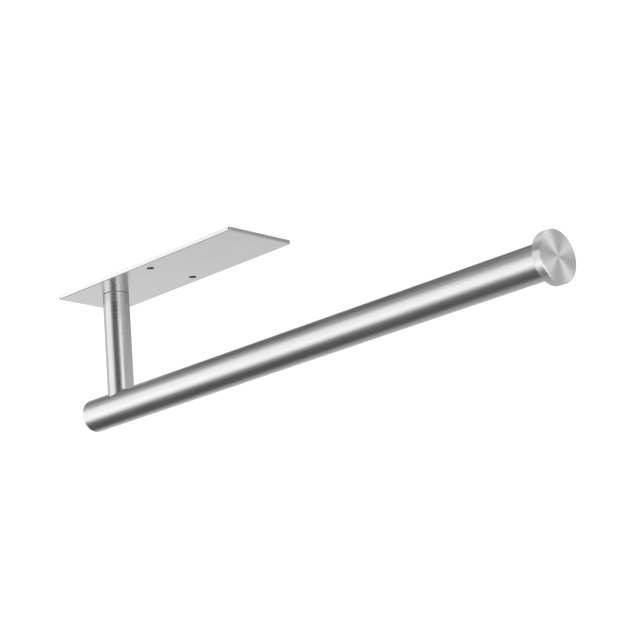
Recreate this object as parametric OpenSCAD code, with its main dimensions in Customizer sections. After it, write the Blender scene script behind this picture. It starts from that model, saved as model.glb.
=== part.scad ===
// Under-cabinet paper towel holder.
// A flat plate screws or sticks to the underside of a cabinet. A round post hangs from it
// and carries a long horizontal bar by one end. The roll slides on over the disc at the
// free end of the bar, which then keeps it from running off.
//
// Millimetres. The origin is the centre of the face that meets the cabinet, +Z points up
// into the cabinet and +X runs along the bar towards its free end.

/* [Mounting plate] */
// Length of the plate, along the bar
plate_length = 140; // [100:1:180]
// Width of the plate, across the bar
plate_width = 44; // [44:1:60]
// Thickness of the plate's sheet
plate_thickness = 2; // [2:0.1:4]
// Radius of the plate's corners, seen from below
plate_corner_r = 1.5; // [0.5:0.1:8]
// Diameter of the two holes for the cabinet screws
screw_hole_d = 4; // [3:0.1:6]
// Distance between the two cabinet screw holes, across the bar
screw_pitch = 30; // [20:1:30]

/* [Adhesive pad] */
// Thickness of the foam pad on the plate's back
pad_thickness = 0.8; // [0.4:0.1:2]
// How far the pad stops short of the plate's edge
pad_inset = 2.5; // [1.5:0.5:2.5]
// Diameter of the openings in the pad around the cabinet screws
pad_hole_d = 6; // [5:0.5:7]

/* [Post] */
// Diameter of the post
post_d = 14.5; // [12:0.5:20]
// Distance from the plate's fixed-end edge to the post's axis
post_setback = 23; // [10:0.5:60]
// Distance from the underside of the plate down to the bar's axis
bar_drop = 63.8; // [60:0.1:100]

/* [Bar] */
// Outside diameter of the bar tube
bar_d = 18; // [16:0.5:22]
// Wall thickness of the bar tube
bar_wall = 1; // [0.8:0.1:2]
// Length of the bar tube, without the end disc
bar_length = 325; // [240:1:360]
// Chamfer on the fixed end of the bar
bar_chamfer = 0.3; // [0.1:0.1:0.6]

/* [End disc] */
// Diameter of the disc on the free end
disc_d = 26; // [20:0.5:36]
// Thickness of the disc
disc_thickness = 5; // [3:0.5:10]
// Radius of the disc's two outer edges
disc_edge_r = 0.5; // [0.2:0.1:1.5]
// Length of the spigot that fills the end of the bar
spigot_length = 14; // [6:1:30]

/* [End plug] */
// Depth of the plug that closes the fixed end of the bar
plug_depth = 6; // [3:0.5:10]
// Wall thickness of the plug
plug_wall = 1.2; // [0.8:0.1:2]

/* [Tie screw and nut] */
// Thread diameter of the screw that clamps plate, post and bar together
tie_d = 4; // [4:1:5]
// Overall length of the screw, head included
tie_length = 65; // [60:1:100]
// Diameter of the screw's countersunk head
tie_head_d = 8; // [7:0.1:8.4]
// Hexagon key size of the screw
tie_key = 2.5; // [2:0.5:3]
// Length of the saddle nut, along the bar
nut_length = 12; // [8:0.5:16]
// Width of the saddle nut, across the bar
nut_width = 10; // [8:0.5:12]
// Height of the nut's flat lower face above the bar's axis
nut_flat_height = 2; // [1:0.5:4]

/* [Locating pin] */
// Diameter of the pin that stops the post turning on the plate
pin_d = 2; // [1.5:0.5:3]
// Length of the pin
pin_length = 4; // [3:0.5:6]
// How deep the pin sits in the plate
pin_in_plate = 1.2; // [0.8:0.1:1.4]
// Distance of the pin from the post's axis
pin_offset = 4.9; // [4.5:0.1:5.5]

/* [Hidden] */
$fn = 96;
// Radial gap left in pressed, bonded and threaded joints
press_gap = 0.02;
// Radial gap around parts that pass through freely
free_gap = 0.25;
// Straight rim above the cone of the countersunk head
head_land = 0.3;
// Depth of the hexagon socket in the screw head
key_depth = 1.4;
// Chamfer on the tip of the screw and on the ends of the pin
tip_chamfer = 0.4;
// Chamfer on the hidden end of the disc's spigot and of the end plug
lead_chamfer = 0.5;
// Overshoot that keeps a cutter clear of the face it opens
cut = 1;

plate_top = -pad_thickness;
plate_bottom = plate_top - plate_thickness;
bar_z = plate_bottom - bar_drop;
bar_r = bar_d / 2;
bar_bore_r = bar_r - bar_wall;
fixed_end_x = -plate_length / 2;
free_end_x = fixed_end_x + bar_length;
post_x = fixed_end_x + post_setback;
post_r = post_d / 2;
inner_fit_r = bar_bore_r - press_gap;
tie_r = tie_d / 2;
tie_hole_r = tie_r + free_gap;
head_r = tie_head_d / 2;
seat_r = head_r + press_gap;
cone_height = head_r - tie_r;
pin_r = pin_d / 2;
pin_top = plate_bottom + pin_in_plate;

STEEL = [0.76, 0.76, 0.77];
FASTENER = [0.62, 0.62, 0.64];
FOAM = [0.12, 0.12, 0.13];

// Flat outline with true round corners.
module round_rect(length, width, r) {
    square([length - 2 * r, width], center = true);
    square([length, width - 2 * r], center = true);
    for (x = [-1, 1], y = [-1, 1])
        translate([x * (length / 2 - r), y * (width / 2 - r)]) circle(r = r);
}

// Places children with their own +Z along the bar, starting at x on the bar's axis.
module along_bar(x) {
    translate([x, 0, bar_z]) rotate([0, 90, 0]) children();
}

// The two cabinet screws' positions.
module at_cabinet_screws() {
    for (side = [-1, 1]) translate([0, side * screw_pitch / 2, 0]) children();
}

// Flat stainless sheet, countersunk on its back for the tie screw.
module mounting_plate() {
    color(STEEL)
    difference() {
        translate([0, 0, plate_bottom])
            linear_extrude(plate_thickness) round_rect(plate_length, plate_width, plate_corner_r);
        at_cabinet_screws()
            translate([0, 0, plate_bottom - cut])
                cylinder(d = screw_hole_d, h = plate_thickness + 2 * cut);
        translate([post_x, 0, 0]) {
            translate([0, 0, plate_bottom - cut])
                cylinder(r = tie_hole_r, h = plate_thickness + 2 * cut);
            translate([0, 0, plate_top - head_land]) cylinder(r = seat_r, h = head_land + cut);
            translate([0, 0, plate_top - head_land - (seat_r - tie_r)])
                cylinder(r1 = tie_r, r2 = seat_r, h = seat_r - tie_r);
        }
        translate([post_x - pin_offset, 0, plate_bottom - cut])
            cylinder(r = pin_r + press_gap, h = pin_in_plate + cut + press_gap);
    }
}

// Double-sided foam pad between plate and cabinet, open around the cabinet screws.
module adhesive_pad() {
    color(FOAM)
    difference() {
        translate([0, 0, plate_top])
            linear_extrude(pad_thickness)
                round_rect(plate_length - 2 * pad_inset, plate_width - 2 * pad_inset,
                           plate_corner_r);
        at_cabinet_screws()
            translate([0, 0, plate_top - cut]) cylinder(d = pad_hole_d, h = pad_thickness + 2 * cut);
    }
}

// Round post, drilled through for the tie screw and coped at its foot to sit on the bar.
module post() {
    color(STEEL)
    difference() {
        translate([post_x, 0, bar_z]) cylinder(r = post_r, h = plate_bottom - bar_z);
        along_bar(post_x - post_d) cylinder(r = bar_r, h = 2 * post_d);
        translate([post_x, 0, bar_z - cut])
            cylinder(r = tie_hole_r, h = plate_bottom - bar_z + 2 * cut);
        translate([post_x, 0, plate_bottom - lead_chamfer])
            cylinder(r1 = tie_hole_r, r2 = tie_hole_r + lead_chamfer + cut,
                     h = lead_chamfer + cut);
        translate([post_x - pin_offset, 0, pin_top - pin_length - press_gap])
            cylinder(r = pin_r + press_gap, h = pin_length + cut);
    }
}

// Dowel pin, half in the plate and half in the post.
module locating_pin() {
    color(FASTENER)
    translate([post_x - pin_offset, 0, pin_top - pin_length]) {
        cylinder(r1 = pin_r - tip_chamfer, r2 = pin_r, h = tip_chamfer);
        translate([0, 0, tip_chamfer]) cylinder(r = pin_r, h = pin_length - 2 * tip_chamfer);
        translate([0, 0, pin_length - tip_chamfer])
            cylinder(r1 = pin_r, r2 = pin_r - tip_chamfer, h = tip_chamfer);
    }
}

// Long countersunk screw, from the back of the plate down through the post.
module tie_screw() {
    color(FASTENER)
    translate([post_x, 0, plate_top])
    difference() {
        union() {
            translate([0, 0, -head_land]) cylinder(r = head_r, h = head_land);
            translate([0, 0, -head_land - cone_height])
                cylinder(r1 = tie_r, r2 = head_r, h = cone_height);
            translate([0, 0, tip_chamfer - tie_length])
                cylinder(r = tie_r, h = tie_length - tip_chamfer - head_land - cone_height);
            translate([0, 0, -tie_length])
                cylinder(r1 = tie_r - tip_chamfer, r2 = tie_r, h = tip_chamfer);
        }
        translate([0, 0, -key_depth])
            cylinder(r = tie_key / sqrt(3), h = key_depth + cut, $fn = 6);
    }
}

// Block inside the bar, rounded to the bore, with the thread for the tie screw.
module saddle_nut() {
    color(FASTENER)
    difference() {
        intersection() {
            along_bar(post_x - nut_length / 2) cylinder(r = inner_fit_r, h = nut_length);
            translate([post_x - nut_length / 2 - cut, -nut_width / 2, bar_z + nut_flat_height])
                cube([nut_length + 2 * cut, nut_width, bar_r]);
        }
        translate([post_x, 0, bar_z]) cylinder(r = tie_r + press_gap, h = bar_r);
    }
}

// Round tube, pierced on top for the tie screw, its fixed end level with the plate's end.
module bar_tube() {
    color(STEEL)
    difference() {
        along_bar(fixed_end_x) {
            cylinder(r1 = bar_r - bar_chamfer, r2 = bar_r, h = bar_chamfer);
            translate([0, 0, bar_chamfer]) cylinder(r = bar_r, h = bar_length - bar_chamfer);
        }
        along_bar(fixed_end_x - cut) cylinder(r = bar_bore_r, h = bar_length + 2 * cut);
        translate([post_x, 0, bar_z]) cylinder(r = tie_hole_r, h = bar_d);
    }
}

// Shallow cup pressed into the fixed end of the bar, closed face outwards.
module end_plug() {
    color(STEEL)
    along_bar(fixed_end_x)
    difference() {
        union() {
            cylinder(r1 = inner_fit_r - bar_chamfer, r2 = inner_fit_r, h = bar_chamfer);
            translate([0, 0, bar_chamfer])
                cylinder(r = inner_fit_r, h = plug_depth - bar_chamfer - lead_chamfer);
            translate([0, 0, plug_depth - lead_chamfer])
                cylinder(r1 = inner_fit_r, r2 = inner_fit_r - lead_chamfer, h = lead_chamfer);
        }
        translate([0, 0, plug_wall]) cylinder(r = inner_fit_r - plug_wall, h = plug_depth);
    }
}

// Turned disc with rounded edges, its spigot bonded into the free end of the bar.
module end_disc() {
    disc_r = disc_d / 2;
    core_r = disc_r - disc_edge_r;
    color(STEEL)
    along_bar(free_end_x) {
        rotate_extrude() {
            square([core_r, disc_thickness]);
            translate([0, disc_edge_r]) square([disc_r, disc_thickness - 2 * disc_edge_r]);
            for (y = [disc_edge_r, disc_thickness - disc_edge_r])
                translate([core_r, y]) circle(r = disc_edge_r);
        }
        translate([0, 0, lead_chamfer - spigot_length])
            cylinder(r = inner_fit_r, h = spigot_length - lead_chamfer);
        translate([0, 0, -spigot_length])
            cylinder(r1 = inner_fit_r - lead_chamfer, r2 = inner_fit_r, h = lead_chamfer);
    }
}

mounting_plate();
adhesive_pad();
post();
locating_pin();
tie_screw();
saddle_nut();
bar_tube();
end_plug();
end_disc();
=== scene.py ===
"""Looks, light and camera for the under-cabinet paper towel holder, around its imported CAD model.

Everything is in metres, in the frame of the CAD model: the origin is on the cabinet face,
+Z points up into the cabinet and +X runs along the bar to its free end.
"""

import math

import bmesh
import bpy
from mathutils import Matrix, Vector


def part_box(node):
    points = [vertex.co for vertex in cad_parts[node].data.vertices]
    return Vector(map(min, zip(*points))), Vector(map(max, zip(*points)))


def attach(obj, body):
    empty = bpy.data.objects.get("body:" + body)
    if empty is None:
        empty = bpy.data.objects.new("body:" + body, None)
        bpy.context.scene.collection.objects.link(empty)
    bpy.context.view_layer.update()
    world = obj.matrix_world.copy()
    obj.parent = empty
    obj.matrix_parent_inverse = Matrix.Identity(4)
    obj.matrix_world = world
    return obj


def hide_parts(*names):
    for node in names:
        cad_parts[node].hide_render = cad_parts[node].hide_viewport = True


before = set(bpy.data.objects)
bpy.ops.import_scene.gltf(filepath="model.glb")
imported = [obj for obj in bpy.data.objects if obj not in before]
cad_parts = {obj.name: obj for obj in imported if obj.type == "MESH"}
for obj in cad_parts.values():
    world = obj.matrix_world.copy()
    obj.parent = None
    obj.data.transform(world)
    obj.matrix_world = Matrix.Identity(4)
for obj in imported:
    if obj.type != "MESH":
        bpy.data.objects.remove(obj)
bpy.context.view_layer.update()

MM = 0.001

# Camera, as seen from the middle of the plate's underside.
CAMERA_FROM_PLATE = Vector((0.8445, -0.7625, -0.3573))
CAMERA_AZIMUTH = math.radians(44.02)
CAMERA_ELEVATION = math.radians(-15.94)
CAMERA_ROLL = math.radians(-4.63)
CAMERA_LENS_MM = 124.42
SENSOR_MM = 36

# Floor, far enough below the hanging object to leave every view from below clear.
FLOOR_Z = -1.7
FLOOR_SIZE = 60

# Points closer than this are one point, and edges are flat or sharp past these angles.
WELD = 0.001 * MM
FLAT_ANGLE = math.radians(0.5)
SHARP_ANGLE = math.radians(30)

# Radius that rounds the cut edges, and the share of it that the plate's other edges get.
PLATE_BREAK = 0.4 * MM
PLATE_TOP_SHARE = 0.3
HOLE_SHARE = 0.5
POST_BREAK = 0.35 * MM
PAD_BREAK = 0.2 * MM
BREAK_SEGMENTS = 3

# What counts as the outline of a part, and as the skin of the post.
OUTLINE_SHARE = 0.9
SKIN_SHARE = 0.99

plate_low, plate_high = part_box("mounting_plate")
pad_low, pad_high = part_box("adhesive_pad")
post_low, post_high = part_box("post")
post_middle = (post_low + post_high) / 2
post_radius = (post_high.x - post_low.x) / 2
bar_low, bar_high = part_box("bar_tube")
bar_axis = (bar_low + bar_high) / 2


# ---------------------------------------------------------------- meshes


def plain_copy(node):
    """The mesh of a CAD node as points and faces only."""
    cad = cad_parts[node].data
    mesh = bpy.data.meshes.new(node + "_finished")
    points = [vertex.co for vertex in cad.vertices]
    mesh.from_pydata(points, [], [tuple(face.vertices) for face in cad.polygons])
    return mesh


def mark_breaks(mesh, share):
    """Welds a mesh and marks how much each of its sharp edges is rounded."""
    shape = bmesh.new()
    shape.from_mesh(mesh)
    bmesh.ops.remove_doubles(shape, verts=shape.verts[:], dist=WELD)
    bmesh.ops.dissolve_limit(
        shape, angle_limit=FLAT_ANGLE, verts=shape.verts[:], edges=shape.edges[:]
    )
    weight = shape.edges.layers.float.new("bevel_weight_edge")
    for edge in shape.edges:
        sharp = edge.calc_face_angle(0) > SHARP_ANGLE
        edge[weight] = float(share(edge)) if sharp else 0.0
        edge.smooth = edge[weight] > 0 or not sharp
    for face in shape.faces:
        face.smooth = True
    shape.to_mesh(mesh)
    shape.free()


def finished_copy(node, edge_break, share):
    """Replaces a CAD node by a copy with its sharp edges rounded by a share of edge_break."""
    mesh = plain_copy(node)
    mark_breaks(mesh, share)
    piece = bpy.data.objects.new(node + "_finished", mesh)
    bpy.context.scene.collection.objects.link(piece)
    bevel = piece.modifiers.new("edge_break", "BEVEL")
    bevel.limit_method = "WEIGHT"
    bevel.width = edge_break
    bevel.segments = BREAK_SEGMENTS
    bevel.use_clamp_overlap = False
    bevel.harden_normals = True
    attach(piece, "root")
    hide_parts(node)
    return piece


def away_from_post(point):
    return math.hypot(point.x - post_middle.x, point.y - post_middle.y)


def on_plate_outline(point):
    past_end = abs(point.x) > OUTLINE_SHARE * plate_high.x
    past_side = abs(point.y) > OUTLINE_SHARE * plate_high.y
    return past_end or past_side


def cut_edge_of_plate(edge):
    """The rolled edges underneath take the whole break, the others a part of it."""
    points = [vertex.co for vertex in edge.verts]
    if any(away_from_post(point) < post_radius for point in points):
        return 0.0
    if not on_plate_outline(points[0]):
        return HOLE_SHARE
    underneath = all(point.z < plate_low.z + WELD for point in points)
    return 1.0 if underneath else PLATE_TOP_SHARE


def cut_edge_of_post(edge):
    """The square top is broken round its rim, the foot that fits the bar stays sharp."""
    point = edge.verts[0].co
    return away_from_post(point) > SKIN_SHARE * post_radius and point.z > post_middle.z


def cut_edge_of_pad(edge):
    """The pad's outline, but not its openings, is rounded."""
    inner = OUTLINE_SHARE * min(pad_high.x, pad_high.y)
    return all(max(abs(vertex.co.x), abs(vertex.co.y)) > inner for vertex in edge.verts)


plate = finished_copy("mounting_plate", PLATE_BREAK, cut_edge_of_plate)
post = finished_copy("post", POST_BREAK, cut_edge_of_post)
pad = finished_copy("adhesive_pad", PAD_BREAK, cut_edge_of_pad)


# ---------------------------------------------------------------- node helpers


def link_or_set(tree, value, socket):
    if isinstance(value, bpy.types.NodeSocket):
        tree.links.new(value, socket)
    else:
        socket.default_value = value


def math_node(tree, operation, a, b=0.0, c=0.0):
    node = tree.nodes.new("ShaderNodeMath")
    node.operation = operation
    for value, socket in zip((a, b, c), node.inputs):
        link_or_set(tree, value, socket)
    return node.outputs[0]


def ramp(tree, value, start, end, low=0.0, high=1.0, smooth=True):
    """Maps value from start..end to low..high, held at both ends."""
    node = tree.nodes.new("ShaderNodeMapRange")
    node.interpolation_type = "SMOOTHSTEP" if smooth else "LINEAR"
    names = ("Value", "From Min", "From Max", "To Min", "To Max")
    for name, number in zip(names, (value, start, end, low, high)):
        link_or_set(tree, number, node.inputs[name])
    return node.outputs["Result"]


def noise(tree, vector, scale, detail=4.0, roughness=0.6):
    node = tree.nodes.new("ShaderNodeTexNoise")
    tree.links.new(vector, node.inputs["Vector"])
    for name, number in (("Scale", scale), ("Detail", detail), ("Roughness", roughness)):
        node.inputs[name].default_value = number
    return node.outputs["Fac"]


def colour_mix(tree, factor, first, second):
    node = tree.nodes.new("ShaderNodeMix")
    node.data_type = "RGBA"
    for value, socket in zip((factor, first, second), (node.inputs[0], node.inputs[6], node.inputs[7])):
        link_or_set(tree, value, socket)
    return node.outputs[2]


def bump(tree, height, strength, distance):
    node = tree.nodes.new("ShaderNodeBump")
    node.inputs["Strength"].default_value = strength
    node.inputs["Distance"].default_value = distance
    tree.links.new(height, node.inputs["Height"])
    return node.outputs["Normal"]


def new_material(name):
    material = bpy.data.materials.new(name)
    material.use_nodes = True
    tree = material.node_tree
    return material, tree, tree.nodes["Principled BSDF"]


def grey(value):
    return (value, value, value, 1)


def object_place(tree):
    return tree.nodes.new("ShaderNodeTexCoord").outputs["Object"]


# ---------------------------------------------------------------- steel


GRAIN_LENGTH = 60 * MM
GRAIN_WIDTH = 0.5 * MM
GRAIN_RELIEF = 0.02 * MM
CLOUD_SCALE = 45

# A noise texture stays mostly between these two values.
NOISE_LOW = 0.3
NOISE_HIGH = 0.7

# How far the roughness of the steel strays, along the hairlines and in wide clouds.
ROUGHNESS_STREAK = 0.025
ROUGHNESS_CLOUD = 0.012


def drawn_grain(tree, axis):
    """Coordinates stretched along one axis, for hairlines that run along it."""
    stretch = tree.nodes.new("ShaderNodeMapping")
    scale = [1 / GRAIN_WIDTH] * 3
    scale["XYZ".index(axis)] = 1 / GRAIN_LENGTH
    stretch.inputs["Scale"].default_value = scale
    tree.links.new(object_place(tree), stretch.inputs["Vector"])
    return stretch.outputs["Vector"]


def turned_grain(tree):
    """Coordinates stretched round the bar's axis, for the rings that a lathe leaves."""
    split = tree.nodes.new("ShaderNodeSeparateXYZ")
    tree.links.new(object_place(tree), split.inputs[0])
    y = math_node(tree, "SUBTRACT", split.outputs["Y"], bar_axis.y)
    z = math_node(tree, "SUBTRACT", split.outputs["Z"], bar_axis.z)
    squares = math_node(tree, "MULTIPLY_ADD", y, y, math_node(tree, "MULTIPLY", z, z))
    radius = math_node(tree, "SQRT", squares)
    join = tree.nodes.new("ShaderNodeCombineXYZ")
    ring = math_node(tree, "DIVIDE", radius, GRAIN_WIDTH)
    tree.links.new(ring, join.inputs["X"])
    tree.links.new(math_node(tree, "DIVIDE", split.outputs["X"], GRAIN_WIDTH), join.inputs["Y"])
    turn = math_node(tree, "ARCTAN2", z, y)
    tree.links.new(math_node(tree, "COSINE", turn), join.inputs["Z"])
    return join.outputs["Vector"]


def spread(tree, value, low, high):
    """Spreads a noise value evenly over low..high."""
    return ramp(tree, value, NOISE_LOW, NOISE_HIGH, low, high, smooth=False)


def steel(name, grain, base, roughness, anisotropy, turn=0.0, about=None, depth=0.03, streak=0.05):
    """Satin stainless steel.

    grain makes the coordinates of its hairlines, streak is their contrast and depth their
    relief. The highlight is blurred along the tangent that runs round the axis about,
    turned by turn of a full circle.
    """
    material, tree, shader = new_material(name)
    hairlines = noise(tree, grain(tree), 1.0, detail=5.0, roughness=0.65)
    cloudy = noise(tree, object_place(tree), CLOUD_SCALE, detail=3.0, roughness=0.5)
    level = spread(tree, hairlines, 0.0, 1.0)
    tone = colour_mix(tree, level, grey(base * (1 - streak)), grey(base * (1 + streak)))
    tree.links.new(tone, shader.inputs["Base Color"])
    streaks = spread(tree, hairlines, roughness - ROUGHNESS_STREAK, roughness + ROUGHNESS_STREAK)
    clouds = spread(tree, cloudy, -ROUGHNESS_CLOUD, ROUGHNESS_CLOUD)
    tree.links.new(math_node(tree, "ADD", streaks, clouds), shader.inputs["Roughness"])
    shader.inputs["Metallic"].default_value = 1.0
    shader.inputs["Anisotropic"].default_value = anisotropy
    shader.inputs["Anisotropic Rotation"].default_value = turn
    if about:
        tangent = tree.nodes.new("ShaderNodeTangent")
        tangent.direction_type = "RADIAL"
        tangent.axis = about
        tree.links.new(tangent.outputs["Tangent"], shader.inputs["Tangent"])
    tree.links.new(bump(tree, hairlines, depth, GRAIN_RELIEF), shader.inputs["Normal"])
    return material


def along(axis):
    return lambda tree: drawn_grain(tree, axis)


PORE = 0.35 * MM
PORE_DEPTH = 0.05 * MM
PATCH_SCALE = 400


def black_foam():
    """Matt closed-cell foam with fine pores."""
    material, tree, shader = new_material("black_foam")
    place = object_place(tree)
    pores = tree.nodes.new("ShaderNodeTexVoronoi")
    pores.inputs["Scale"].default_value = 1 / PORE
    tree.links.new(place, pores.inputs["Vector"])
    cell = ramp(tree, pores.outputs["Distance"], 0.0, 0.5)
    patches = noise(tree, place, PATCH_SCALE)
    tone = colour_mix(tree, ramp(tree, patches, 0.35, 0.65), grey(0.015), grey(0.02))
    tree.links.new(colour_mix(tree, cell, grey(0.01), tone), shader.inputs["Base Color"])
    tree.links.new(ramp(tree, cell, 0, 1, 0.9, 0.75), shader.inputs["Roughness"])
    tree.links.new(bump(tree, cell, 0.25, PORE_DEPTH), shader.inputs["Normal"])
    return material


CUT_RELIEF = 0.03 * MM


def hole_wall_painted_shade():
    """The cut wall of a screw hole: darker cut steel, and darkened further as painted shade for the
    hollow of the hole.
    """
    material, tree, shader = new_material("hole_wall_painted_shade")
    cut = noise(tree, drawn_grain(tree, "Z"), 1.0)
    # Painted shade: the wall's colour is held dark to stand in for the shade inside the hole.
    tone = colour_mix(tree, ramp(tree, cut, NOISE_LOW, NOISE_HIGH), grey(0.14), grey(0.26))
    tree.links.new(tone, shader.inputs["Base Color"])
    roughness = ramp(tree, cut, NOISE_LOW, NOISE_HIGH, 0.35, 0.5)
    tree.links.new(roughness, shader.inputs["Roughness"])
    shader.inputs["Metallic"].default_value = 1.0
    tree.links.new(bump(tree, cut, 0.15, CUT_RELIEF), shader.inputs["Normal"])
    return material


steel_plate = steel("steel_plate", along("X"), 0.62, 0.18, 0.0, streak=0.02)
steel_post = steel("steel_post", along("Z"), 0.62, 0.22, 0.9, about="Z", streak=0.07)
steel_bar = steel("steel_bar", along("X"), 0.62, 0.3, 0.68, about="X", streak=0.08)
steel_disc = steel("steel_disc", turned_grain, 0.75, 0.42, 0.9, turn=0.25, about="X", depth=0.08)
steel_plug = steel("steel_plug", turned_grain, 0.65, 0.42, 0.9, turn=0.25, about="X", depth=0.08)
steel_screw = steel("steel_screw", along("X"), 0.55, 0.3, 0.0)
foam = black_foam()
hole_shade = hole_wall_painted_shade()


def set_material(piece, *materials):
    piece.data.materials.clear()
    for material in materials:
        piece.data.materials.append(material)


set_material(plate, steel_plate, hole_shade)
set_material(post, steel_post)
set_material(pad, foam)
for node, material in (
    ("bar_tube", steel_bar),
    ("end_plug", steel_plug),
    ("end_disc", steel_disc),
    ("tie_screw", steel_screw),
    ("saddle_nut", steel_screw),
    ("locating_pin", steel_screw),
):
    set_material(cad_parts[node], material)

# The upright walls of the holes take the second material of the plate, with its painted shade.
for face in plate.data.polygons:
    upright = abs(face.normal.z) < 0.5
    if upright and not on_plate_outline(face.center):
        face.material_index = 1


# ---------------------------------------------------------------- light


# Soft boxes round the object: azimuth from +X towards +Y and elevation, both in degrees,
# the softness of the edge in degrees, and the brightness added.
AMBIENT = 0.08
SOFT_BOXES = {
    "key on the left": (-150, -90, -30, 25, 5, 1.3),
    "low strip on the left": (-190, -85, -20, -10, 5, 0.55),
    "strip on the right": (-30, -6, -12, 80, 5, 1.5),
    "foot of the strip": (-30, -5, -35, -12, 5, 1.2),
    "low card on the right": (10, 30, -25, 5, 5, 0.5),
    "low strip in front": (-95, 10, -45, -25, 5, 2.4),
    "fill on the far right": (10, 120, -5, 25, 5, 0.28),
    "window behind": (30, 55, 25, 50, 5, 2.2),
    "screen on the far left": (135, 220, -15, 35, 20, 0.35),
    "bounce behind": (120, 205, -20, 40, 5, 0.3),
    "fill above the left": (210, 270, 35, 80, 20, 0.5),
    "bounce below": (-25, 150, -90, 15, 5, 0.45),
}

# Light from all round above, and from all round below: the elevation where it starts, the
# softness of its edge in degrees, and the brightness added.
OVERHEAD = (55, 5, 0.85)
UNDERNEATH = (-75, 5, 1.2)

# Brightness of the plain white that the camera sees behind the object.
BACKDROP = 1.1


def edge_ramp(tree, value, middle, soft, low=0.0, high=1.0):
    """Rises from low to high over a soft edge, or falls where soft is negative."""
    return ramp(tree, value, middle - soft / 2, middle + soft / 2, low, high)


def soft_box(tree, azimuth, elevation, box):
    """How much of a soft box is seen in a direction, from 0 to 1."""
    start, end, bottom, top, soft = box
    away = math_node(tree, "SUBTRACT", azimuth, (start + end) / 2)
    away = math_node(tree, "ABSOLUTE", math_node(tree, "WRAP", away, 180.0, -180.0))
    across = edge_ramp(tree, away, (end - start) / 2, -soft)
    above = edge_ramp(tree, elevation, bottom, soft)
    below = edge_ramp(tree, elevation, top, -soft)
    return math_node(tree, "MULTIPLY", across, math_node(tree, "MULTIPLY", above, below))


def studio_level(tree):
    """The brightness of the studio in every direction."""
    place = tree.nodes.new("ShaderNodeTexCoord")
    split = tree.nodes.new("ShaderNodeSeparateXYZ")
    tree.links.new(place.outputs["Generated"], split.inputs[0])
    azimuth = math_node(tree, "ARCTAN2", split.outputs["Y"], split.outputs["X"])
    azimuth = math_node(tree, "DEGREES", azimuth)
    elevation = math_node(tree, "DEGREES", math_node(tree, "ARCSINE", split.outputs["Z"]))
    start, soft, level = OVERHEAD
    total = edge_ramp(tree, elevation, start, soft, AMBIENT, AMBIENT + level)
    start, soft, level = UNDERNEATH
    total = math_node(tree, "ADD", total, edge_ramp(tree, elevation, start, -soft, 0.0, level))
    for *box, level in SOFT_BOXES.values():
        seen = soft_box(tree, azimuth, elevation, box)
        total = math_node(tree, "MULTIPLY_ADD", seen, level, total)
    return total


def white_light(tree, strength):
    light = tree.nodes.new("ShaderNodeBackground")
    light.inputs["Color"].default_value = grey(1)
    link_or_set(tree, strength, light.inputs["Strength"])
    return light


def studio_world():
    """The soft boxes light the object, and the camera sees a plain white backdrop."""
    world = bpy.data.worlds.new("studio")
    world.use_nodes = True
    bpy.context.scene.world = world
    tree = world.node_tree
    tree.nodes.clear()
    studio = white_light(tree, studio_level(tree))
    backdrop = white_light(tree, BACKDROP)
    rays = tree.nodes.new("ShaderNodeLightPath")
    mix = tree.nodes.new("ShaderNodeMixShader")
    tree.links.new(rays.outputs["Is Camera Ray"], mix.inputs["Fac"])
    tree.links.new(studio.outputs[0], mix.inputs[1])
    tree.links.new(backdrop.outputs[0], mix.inputs[2])
    out = tree.nodes.new("ShaderNodeOutputWorld")
    tree.links.new(mix.outputs[0], out.inputs["Surface"])


studio_world()


# ---------------------------------------------------------------- floor and camera


def pale_floor():
    """A plain floor that neither shows in the steel nor shades it from the light below."""
    bpy.ops.mesh.primitive_plane_add(size=FLOOR_SIZE, location=(0, 0, FLOOR_Z))
    floor = bpy.context.object
    floor.name = "floor"
    material, tree, shader = new_material("pale_floor")
    shader.inputs["Base Color"].default_value = grey(0.85)
    shader.inputs["Roughness"].default_value = 0.9
    floor.data.materials.append(material)
    floor.visible_glossy = False
    floor.visible_shadow = False


def photo_camera():
    data = bpy.data.cameras.new("camera")
    data.lens = CAMERA_LENS_MM
    data.sensor_width = SENSOR_MM
    data.clip_start = 0.01
    camera = bpy.data.objects.new("camera", data)
    bpy.context.scene.collection.objects.link(camera)
    middle = (plate_low + plate_high) / 2
    place = Vector((middle.x, middle.y, plate_low.z)) + CAMERA_FROM_PLATE
    turn = Matrix.Rotation(CAMERA_AZIMUTH, 4, "Z")
    tilt = Matrix.Rotation(math.pi / 2 - CAMERA_ELEVATION, 4, "X")
    roll = Matrix.Rotation(CAMERA_ROLL, 4, "Z")
    camera.matrix_world = Matrix.Translation(place) @ turn @ tilt @ roll
    bpy.context.scene.camera = camera


pale_floor()
photo_camera()
bpy.context.scene.view_settings.view_transform = "Standard"
